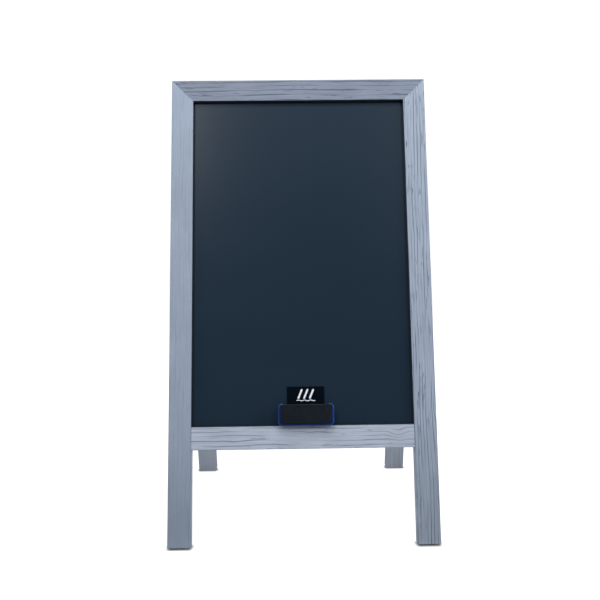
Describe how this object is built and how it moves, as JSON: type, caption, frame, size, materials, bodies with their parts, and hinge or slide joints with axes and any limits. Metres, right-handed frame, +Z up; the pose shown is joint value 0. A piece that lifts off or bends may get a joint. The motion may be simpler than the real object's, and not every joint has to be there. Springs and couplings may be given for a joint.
{
  "type": "sandwich board",
  "caption": "Folding wooden A-frame sandwich board with a framed steel chalkboard on each side, a magnetic eraser and a printed card.",
  "frame": {"origin": "on the floor at the middle of the board, midway between the front and rear feet", "axes": "+Z up, the front chalkboard faces -Y, +X to the right of someone reading the front"},
  "size_m": [0.51, 0.4226, 0.8949],
  "materials": {
    "washed_pine": "blue wash brushed into raised softwood grain, matt",
    "beech_dowel": "turned beech, bare",
    "chalkboard_steel": "chalkboard paint on sheet steel, low sheen",
    "hardboard": "pressed hardboard, smooth face",
    "fixing_steel": "bright steel strip",
    "zinc_screw": "bright zinc plate",
    "zinc_hinge": "pressed steel, bright zinc plate",
    "cotton_webbing": "woven webbing, black",
    "blue_plastic": "moulded, light gloss",
    "black_felt": "pressed wool felt",
    "magnet": "nickel plate",
    "black_card": "coated card, printed white"
  },
  "bodies": {
    "front_frame": {"front_left_stile": "washed_pine", "front_right_stile": "washed_pine", "front_top_rail": "washed_pine", "front_bottom_rail": "washed_pine", "front_dowels": "beech_dowel", "front_mitre_nails": "fixing_steel", "front_backer_panel": "hardboard", "front_chalkboard": "chalkboard_steel", "front_retaining_points": "fixing_steel", "left_hinge_front_leaf": "zinc_hinge", "right_hinge_front_leaf": "zinc_hinge", "left_hinge_pin": "zinc_hinge", "right_hinge_pin": "zinc_hinge", "front_hinge_screws": "zinc_screw", "front_strap_screws": "zinc_screw", "left_spread_strap": "cotton_webbing", "right_spread_strap": "cotton_webbing"},
    "rear_frame": {"rear_left_stile": "washed_pine", "rear_right_stile": "washed_pine", "rear_top_rail": "washed_pine", "rear_bottom_rail": "washed_pine", "rear_dowels": "beech_dowel", "rear_mitre_nails": "fixing_steel", "rear_backer_panel": "hardboard", "rear_chalkboard": "chalkboard_steel", "rear_retaining_points": "fixing_steel", "left_hinge_rear_leaf": "zinc_hinge", "right_hinge_rear_leaf": "zinc_hinge", "rear_hinge_screws": "zinc_screw", "rear_strap_screws": "zinc_screw"},
    "eraser": {"eraser_shell": "blue_plastic", "eraser_felt": "black_felt", "eraser_magnets": "magnet"},
    "card": {"printed_card": "black_card"}
  },
  "joints": [
    {"name": "fold", "type": "hinge", "parent": "front_frame", "child": "rear_frame", "pos_m": [0, 0, 0.89218], "axis": [-1, 0, 0], "range_deg": [0, 24], "deforming": ["left_spread_strap", "right_spread_strap"]},
    {"name": "eraser_pull", "type": "slide", "parent": "front_frame", "child": "eraser", "axis": [0, -0.9781, 0.2079], "range_m": [0, 0.12]},
    {"name": "card_lift", "type": "slide", "parent": "front_frame", "child": "card", "axis": [0, 0.2079, 0.9781], "range_m": [0, 0.08]}
  ]
}
